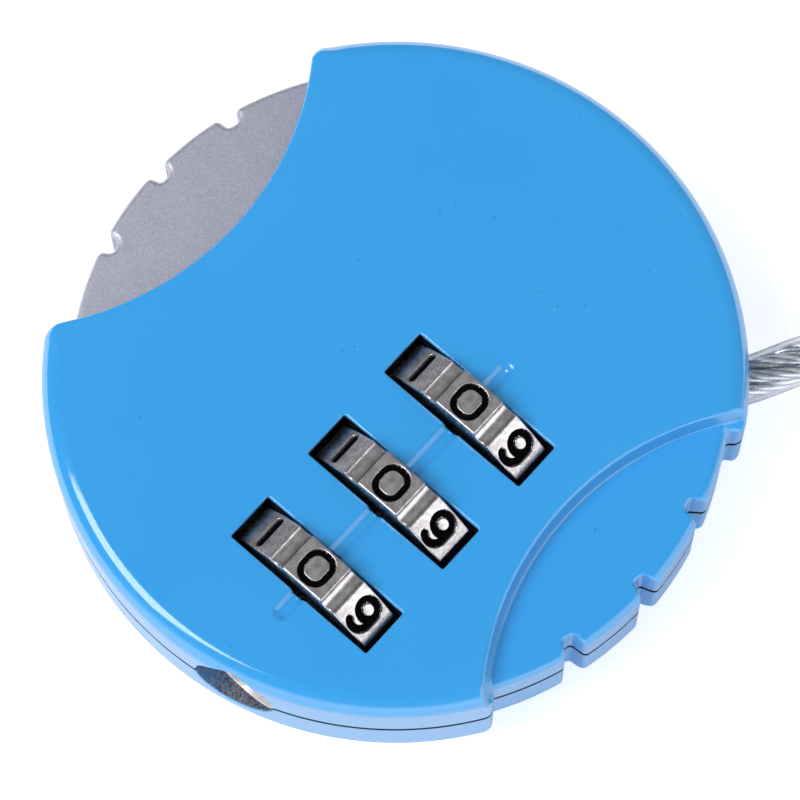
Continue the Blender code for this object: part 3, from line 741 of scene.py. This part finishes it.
# ---- materials ----------------------------------------------------------------------------------------------
class Mat:
    """A material with helpers for its node tree; scales are per millimetre."""

    def __init__(self, name):
        self.m = bpy.data.materials.new(name)
        self.m.use_nodes = True
        self.t = self.m.node_tree
        self.b = self.t.nodes["Principled BSDF"]
        self.coord = self.t.nodes.new("ShaderNodeTexCoord")
        self.map = self.t.nodes.new("ShaderNodeMapping")
        self.map.inputs["Scale"].default_value = (1000, 1000, 1000)
        self.link(self.coord.outputs["Object"], self.map.inputs["Vector"])
        self.vec = self.map.outputs["Vector"]

    def link(self, a, b):
        self.t.links.new(a, b)

    def set(self, **kw):
        for key, value in kw.items():
            self.b.inputs[key.replace("_", " ")].default_value = value
        return self

    def noise(self, scale, detail=3.0, rough=0.5, stretch=None):
        n = self.t.nodes.new("ShaderNodeTexNoise")
        n.inputs["Scale"].default_value = scale
        n.inputs["Detail"].default_value = detail
        n.inputs["Roughness"].default_value = rough
        vec = self.vec
        if stretch:
            m = self.t.nodes.new("ShaderNodeMapping")
            m.inputs["Scale"].default_value = stretch
            self.link(vec, m.inputs["Vector"])
            vec = m.outputs["Vector"]
        self.link(vec, n.inputs["Vector"])
        return n.outputs["Fac"]

    def voronoi(self, scale, feature="F1"):
        n = self.t.nodes.new("ShaderNodeTexVoronoi")
        n.feature = feature
        n.inputs["Scale"].default_value = scale
        self.link(self.vec, n.inputs["Vector"])
        return n.outputs["Distance"]

    def ramp(self, fac, stops):
        r = self.t.nodes.new("ShaderNodeValToRGB")
        el = r.color_ramp.elements
        while len(el) < len(stops):
            el.new(0.5)
        for e, (p, c) in zip(el, stops):
            e.position = p
            e.color = (*c, 1.0) if len(c) == 3 else c
        self.link(fac, r.inputs["Fac"])
        return r.outputs["Color"]

    def span(self, fac, a0, a1, b0, b1):
        r = self.t.nodes.new("ShaderNodeMapRange")
        for key, v in zip(("From Min", "From Max", "To Min", "To Max"), (a0, a1, b0, b1)):
            r.inputs[key].default_value = v
        self.link(fac, r.inputs["Value"])
        return r.outputs["Result"]

    def mix(self, fac, a, b, blend="MIX"):
        n = self.t.nodes.new("ShaderNodeMix")
        n.data_type = "RGBA"
        n.blend_type = blend
        for key, v in ((0, fac), (6, a), (7, b)):
            if hasattr(v, "is_output") or isinstance(v, bpy.types.NodeSocket):
                self.link(v, n.inputs[key])
            elif key == 0:
                n.inputs[0].default_value = v
            else:
                n.inputs[key].default_value = (*v, 1.0) if len(v) == 3 else v
        return n.outputs[2]

    def math(self, op, a, b=0.0):
        n = self.t.nodes.new("ShaderNodeMath")
        n.operation = op
        for k, v in enumerate((a, b)):
            if isinstance(v, bpy.types.NodeSocket):
                self.link(v, n.inputs[k])
            else:
                n.inputs[k].default_value = v
        return n.outputs[0]

    def attr(self, name):
        n = self.t.nodes.new("ShaderNodeAttribute")
        n.attribute_name = name
        return n.outputs["Fac"]

    def bump(self, height, depth_mm, strength=1.0, chain=None):
        n = self.t.nodes.new("ShaderNodeBump")
        n.inputs["Distance"].default_value = depth_mm * MM
        n.inputs["Strength"].default_value = strength
        self.link(height, n.inputs["Height"])
        if chain is not None:
            self.link(chain, n.inputs["Normal"])
        return n.outputs["Normal"]

    def to(self, socket, name):
        self.link(socket, self.b.inputs[name])
        return self


def srgb(r, g, b):
    return tuple(((c / 255 + 0.055) / 1.055) ** 2.4 if c > 10 else c / 255 / 12.92 for c in (r, g, b))


def give(obj, mat):
    obj.data.materials.clear()
    obj.data.materials.append(mat.m)


# blue enamel, with near-black painted shade inside and a painted dark band along the parting line, and sandy cast metal
# in the plug hole
blue = Mat("blue_enamel_look")
base = blue.ramp(blue.noise(0.09, 2.0), [(0.3, (0.021, 0.328, 0.772)), (0.7, (0.025, 0.34, 0.787))])
specks = blue.span(blue.voronoi(0.8), 0.02, 0.07, 1.0, 0.0)
speck_where = blue.span(blue.noise(0.35, 2.0), 0.52, 0.58, 0.0, 0.8)
base = blue.mix(blue.math("MULTIPLY", specks, speck_where), base, srgb(28, 80, 130))
# painted sheen: where the surface is seen at a slant, the paint is mixed toward a pale grey-blue, standing in for the
# reflection on the sides
facing = blue.t.nodes.new("ShaderNodeLayerWeight")
facing.inputs["Blend"].default_value = 0.5
painted_sheen = blue.span(facing.outputs["Facing"], 0.38, 0.85, 0.0, 0.3)
base = blue.mix(painted_sheen, base, (0.36, 0.47, 0.66))
split = blue.t.nodes.new("ShaderNodeSeparateXYZ")
blue.link(blue.vec, split.inputs[0])
from_seam = blue.math("ABSOLUTE", blue.math("SUBTRACT", split.outputs["Z"], PART))
# painted shade: near black on the cavity and window walls, and a dark band painted along the parting line where shade
# falls in the seam
painted_shade = blue.math("MAXIMUM", blue.math("GREATER_THAN", blue.attr("painted_shade"), 0.5), blue.math("LESS_THAN", from_seam, SEAM / 2 + 0.14))
hole = blue.math("GREATER_THAN", blue.attr("hole"), 0.5)
sand = blue.noise(5.5, 5.0, 0.7)
base = blue.mix(painted_shade, base, srgb(12, 12, 15))
gritty = blue.ramp(sand, [(0.36, srgb(38, 46, 60)), (0.64, srgb(150, 156, 168))])
gritty = blue.mix(blue.span(split.outputs["Y"], -5.0, -3.4, 0.0, 0.75), gritty, srgb(52, 104, 152))
base = blue.mix(hole, base, gritty)
blue.to(base, "Base Color")
plain = blue.math("SUBTRACT", 1.0, blue.math("MAXIMUM", painted_shade, hole))
blue.to(blue.math("ADD", blue.span(blue.noise(2.2, 4.0), 0.3, 0.7, 0.3, 0.4), blue.math("MULTIPLY", blue.math("SUBTRACT", 1.0, plain), 0.2)), "Roughness")
blue.to(plain, "Coat Weight")
blue.to(blue.math("MULTIPLY", hole, 0.7), "Metallic")
blue.to(blue.math("SUBTRACT", 0.2, blue.math("MULTIPLY", plain, 0.2)), "Specular IOR Level")
blue.set(Coat_Roughness=0.1, Coat_IOR=1.62, IOR=1.5)
peel = blue.bump(blue.noise(1.3, 2.0, 0.4), 0.003)
blue.link(blue.bump(blue.math("MULTIPLY", sand, hole), 0.12, 0.8, peel), blue.b.inputs["Normal"])
blue.link(peel, blue.b.inputs["Coat Normal"])

# satin nickel button
satin = Mat("satin_nickel_look")
grain = satin.noise(9.0, 4.0, 0.65)
satin.to(satin.ramp(grain, [(0.25, srgb(160, 161, 176)), (0.75, srgb(190, 191, 206))]), "Base Color")
satin.to(satin.span(satin.noise(5.0, 3.0), 0.3, 0.7, 0.42, 0.6), "Roughness")
satin.set(Metallic=0.85)
satin.link(satin.bump(grain, 0.02, 0.7, satin.bump(satin.noise(0.5, 2.0), 0.05, 0.5)), satin.b.inputs["Normal"])

# dial nickel with black digits
dialm = Mat("dial_nickel_look")
wear = dialm.noise(1.2, 4.0, 0.6)
fine = dialm.noise(14.0, 3.0, 0.6, (0.25, 1.0, 1.0))
metal = dialm.ramp(wear, [(0.3, srgb(150, 146, 148)), (0.7, srgb(205, 202, 205))])
metal = dialm.mix(dialm.span(fine, 0.45, 0.65, 0.0, 0.25), metal, srgb(90, 88, 92))
ink = dialm.math("GREATER_THAN", dialm.attr("ink"), 0.5)
dialm.to(dialm.mix(ink, metal, srgb(9, 8, 10)), "Base Color")
dialm.to(dialm.mix(ink, dialm.ramp(fine, [(0.3, (0.16,) * 3), (0.7, (0.34,) * 3)]), (0.42,) * 3), "Roughness")
dialm.to(dialm.math("SUBTRACT", 1.0, ink), "Metallic")
dialm.to(dialm.math("MULTIPLY", dialm.math("SUBTRACT", 1.0, ink), 0.5), "Specular IOR Level")
dialm.link(dialm.bump(fine, 0.012, 0.6, dialm.bump(wear, 0.05, 0.25)), dialm.b.inputs["Normal"])

# rope and coating
rope_m = Mat("wire_rope_look")
wire = rope_m.math("FRACT", rope_m.math("ADD", rope_m.attr("wire"), 0.5))
groove_h = rope_m.math("ABSOLUTE", rope_m.math("SUBTRACT", wire, 0.5))
# painted highlight along the crown of each wire, and painted shade in the grooves between wires
painted_wire_highlight_and_shade = rope_m.ramp(groove_h, [(0.0, srgb(240, 241, 244)), (0.3, srgb(200, 205, 214)), (0.5, srgb(84, 94, 112))])
rope_m.to(rope_m.mix(rope_m.span(rope_m.noise(1.4, 3.0), 0.35, 0.65, 0.0, 0.4), painted_wire_highlight_and_shade, srgb(150, 160, 176)), "Base Color")
rope_m.to(rope_m.span(rope_m.noise(2.0, 3.0), 0.3, 0.7, 0.22, 0.42), "Roughness")
rope_m.set(Metallic=0.6)
rope_m.link(rope_m.bump(rope_m.math("SUBTRACT", 0.5, groove_h), 0.06, 0.9), rope_m.b.inputs["Normal"])

pvc = Mat("clear_pvc_look")
pvc.set(Base_Color=(0.93, 0.95, 0.97, 1), Transmission_Weight=1.0, Roughness=0.08, IOR=1.35)
pvc.to(pvc.span(pvc.noise(0.8, 3.0), 0.3, 0.7, 0.04, 0.2), "Roughness")
pvc.link(pvc.bump(pvc.noise(0.9, 3.0), 0.05, 0.6), pvc.b.inputs["Normal"])


def metal_look(name, lo, hi, rough0, rough1, scale=4.0, bump=0.01, metallic=1.0, stretch=None):
    m = Mat(name)
    n = m.noise(scale, 4.0, 0.6, stretch)
    m.to(m.ramp(n, [(0.3, lo), (0.7, hi)]), "Base Color")
    m.to(m.span(m.noise(scale * 0.7, 3.0), 0.3, 0.7, rough0, rough1), "Roughness")
    m.set(Metallic=metallic)
    m.link(m.bump(n, bump, 0.6), m.b.inputs["Normal"])
    return m


steel = metal_look("turned_steel_look", srgb(165, 165, 170), srgb(200, 200, 205), 0.18, 0.32)
plated = metal_look("plated_steel_look", srgb(140, 142, 140), srgb(178, 178, 172), 0.3, 0.5)
rawzinc = metal_look("raw_zinc_look", srgb(60, 62, 66), srgb(120, 122, 126), 0.5, 0.75, 7.0, 0.05)
springm = metal_look("spring_steel_look", srgb(120, 122, 130), srgb(160, 162, 168), 0.25, 0.4)
brassm = metal_look("cam_brass_look", srgb(165, 135, 75), srgb(200, 168, 100), 0.25, 0.4)
ferrule = metal_look("ferrule_look", srgb(170, 172, 176), srgb(205, 206, 210), 0.35, 0.5)
screwm = metal_look("screw_steel_look", srgb(120, 122, 126), srgb(165, 167, 170), 0.25, 0.4)
sleevem = metal_look("socket_sleeve_look", srgb(214, 212, 216), srgb(248, 244, 244), 0.25, 0.5, 2.2, 0.02, 0.45)
black = metal_look("black_plastic_look", srgb(9, 9, 10), srgb(20, 20, 22), 0.45, 0.65, 3.0, 0.02, 0.0)
collarm = metal_look("collar_nickel_look", srgb(170, 170, 176), srgb(212, 212, 216), 0.15, 0.3, 3.0)

for obj in (front, back):
    give(obj, blue)
give(button, satin)
give(sleeve, sleevem)
dial_mesh.materials.clear()
dial_mesh.materials.append(dialm.m)
for obj in rope_objs:
    give(obj, rope_m)
for obj in coat_objs:
    give(obj, pvc)
give(collar, collarm)
give(plug, steel)
looks = {
    "chassis": black, "dial_axle": steel, "detent_spring": springm, "plug_socket": rawzinc, "cable_anchor": ferrule,
    "case_screw_1": screwm, "case_screw_2": screwm, "case_screw_3": screwm, "button_spring_left": springm,
    "button_spring_right": springm, "reset_spring": springm, "cam_sleeve_1": brassm, "cam_sleeve_2": brassm,
    "cam_sleeve_3": brassm, "locking_slide": plated, "reset_pin": steel,
}
for name, mat in looks.items():
    give(nodes[name], mat)
for name, obj in nodes.items():
    if name not in looks:
        give(obj, {"f": blue, "b": blue, "r": satin, "n": dialm, "p": collarm}.get(name[0], rope_m if "rope" in name else pvc))

# ---- studio ---------------------------------------------------------------------------------------------------
lo, hi = cad_box
floor_z = float(min(lo[2], hi[2])) - 0.0002
bm = bmesh.new()
bmesh.ops.create_grid(bm, x_segments=8, y_segments=8, size=1.5)
floor_mesh = bpy.data.meshes.new("studio_floor")
bm.to_mesh(floor_mesh)
bm.free()
floor = bpy.data.objects.new("studio_floor", floor_mesh)
bpy.context.scene.collection.objects.link(floor)
floor.location = (0, 0, floor_z)
fm = Mat("floor_look")
fm.to(fm.ramp(fm.noise(0.02, 2.0), [(0.3, (0.93, 0.93, 0.93)), (0.7, (0.95, 0.95, 0.95))]), "Base Color")
fm.set(Roughness=0.9, Emission_Color=(1, 1, 1, 1))
ray = fm.t.nodes.new("ShaderNodeLightPath")
flat = fm.t.nodes.new("ShaderNodeVectorMath")
flat.operation = "LENGTH"
fm.link(fm.vec, flat.inputs[0])
away = fm.ramp(fm.span(flat.outputs["Value"], 24.0, 104.0, 0.0, 1.0), [(0.0, (0.0,) * 3), (0.08, (0.09,) * 3), (0.18, (0.2,) * 3), (0.55, (0.38,) * 3)])
fm.to(fm.math("ADD", fm.math("ADD", fm.math("SUBTRACT", 0.3, fm.math("MULTIPLY", ray.outputs["Is Glossy Ray"], 0.3)),
                       fm.math("MULTIPLY", ray.outputs["Is Camera Ray"], 0.25)),
              fm.math("MULTIPLY", fm.math("MULTIPLY", away, 4.0), ray.outputs["Is Glossy Ray"])), "Emission Strength")
give(floor, fm)

# The surround: a dim ceiling and a dim far side, which the flat face and the far edges mirror, and a brighter near side.
world = bpy.data.worlds.new("studio")
bpy.context.scene.world = world
world.use_nodes = True
wt = world.node_tree


def world_node(kind, **inputs):
    n = wt.nodes.new(kind)
    for key, v in inputs.items():
        key = key.replace("_", " ")
        if isinstance(v, bpy.types.NodeSocket):
            wt.links.new(v, n.inputs[key])
        else:
            n.inputs[key].default_value = v
    return n


wc = world_node("ShaderNodeTexCoord").outputs["Generated"]
near = world_node("ShaderNodeVectorMath")
near.operation = "DOT_PRODUCT"
wt.links.new(wc, near.inputs[0])
near.inputs[1].default_value = (math.cos(math.radians(240)), math.sin(math.radians(240)), 0.0)
side_level = world_node("ShaderNodeMapRange", Value=near.outputs["Value"], From_Min=-0.5, From_Max=0.7, To_Min=0.4, To_Max=0.62)
high = world_node("ShaderNodeSeparateXYZ", Vector=wc).outputs["Z"]
upness = world_node("ShaderNodeMapRange", Value=high, From_Min=0.45, From_Max=0.88, To_Min=0.0, To_Max=1.0)
level = world_node("ShaderNodeMix", Factor=upness.outputs["Result"])
wt.links.new(side_level.outputs["Result"], level.inputs[2])
level.inputs[3].default_value = 0.46
# a long low light card on the near side, seen only in reflections: it draws the pale band along the rim
card = world_node("ShaderNodeMapRange", Value=high, From_Min=0.12, From_Max=0.46, To_Min=2.4, To_Max=0.0)
card_side = world_node("ShaderNodeMapRange", Value=near.outputs["Value"], From_Min=0.0, From_Max=0.5, To_Min=0.0, To_Max=1.0)
glossy = world_node("ShaderNodeLightPath").outputs["Is Glossy Ray"]


def world_math(kind, a, b):
    n = wt.nodes.new("ShaderNodeMath")
    n.operation = kind
    wt.links.new(a, n.inputs[0])
    wt.links.new(b, n.inputs[1])
    return n.outputs[0]


strip = world_math("MULTIPLY", world_math("MULTIPLY", card.outputs["Result"], card_side.outputs["Result"]), glossy)
wt.links.new(world_math("ADD", level.outputs[0], strip), wt.nodes["Background"].inputs["Strength"])
wt.nodes["Background"].inputs["Color"].default_value = (1, 1, 1, 1)


def area(name, pos, target, size, power, color=(1, 1, 1)):
    light = bpy.data.lights.new(name, "AREA")
    light.shape = "RECTANGLE"
    light.size, light.size_y = size
    light.energy = power
    light.color = color
    obj = bpy.data.objects.new(name, light)
    bpy.context.scene.collection.objects.link(obj)
    obj.location = pos
    obj.rotation_euler = (Vector(target) - Vector(pos)).to_track_quat("-Z", "Y").to_euler()
    return obj


def polar(az_deg, el_deg, dist):
    a, e = math.radians(az_deg), math.radians(el_deg)
    return (dist * math.cos(a) * math.cos(e), dist * math.sin(a) * math.cos(e), dist * math.sin(e))


area("overhead_softbox", polar(146, 56, 0.8), (0, 0, 0), (0.36, 0.44), 4.2)
area("low_softbox", polar(286, 30, 0.6), (0, 0, 0), (0.4, 0.28), 0.55)

# ---- camera ------------------------------------------------------------------------------------------------------
AZ_DEG, EL_DEG, ROLL_DEG = 223.32, 72.64, -1.66
FOCAL_PX, DIST, CX, CY = 4279.7, 12.04 * R, 395.1, 365.9
az, el, roll = map(math.radians, (AZ_DEG, EL_DEG, ROLL_DEG))
back_dir = Vector((math.cos(az) * math.cos(el), math.sin(az) * math.cos(el), math.sin(el)))
r0 = (-back_dir).cross(Vector((0, 0, 1))).normalized()
u0 = r0.cross(-back_dir)
right = math.cos(roll) * r0 + math.sin(roll) * u0
upv = -math.sin(roll) * r0 + math.cos(roll) * u0
cam_data = bpy.data.cameras.new("photo_camera")
cam = bpy.data.objects.new("photo_camera", cam_data)
bpy.context.scene.collection.objects.link(cam)
m = Matrix((right, upv, back_dir)).transposed().to_4x4()
m.translation = back_dir * DIST * MM + Vector((0, 0, TOP * MM))
cam.matrix_world = m
cam_data.sensor_width = 36.0
cam_data.lens = FOCAL_PX / 800 * 36.0
cam_data.shift_x = (400 - CX) / 800
cam_data.shift_y = -(400 - CY) / 800
cam_data.clip_start = 0.01
cam_data.clip_end = 10
bpy.context.scene.camera = cam
bpy.context.scene.view_settings.view_transform = "Standard"
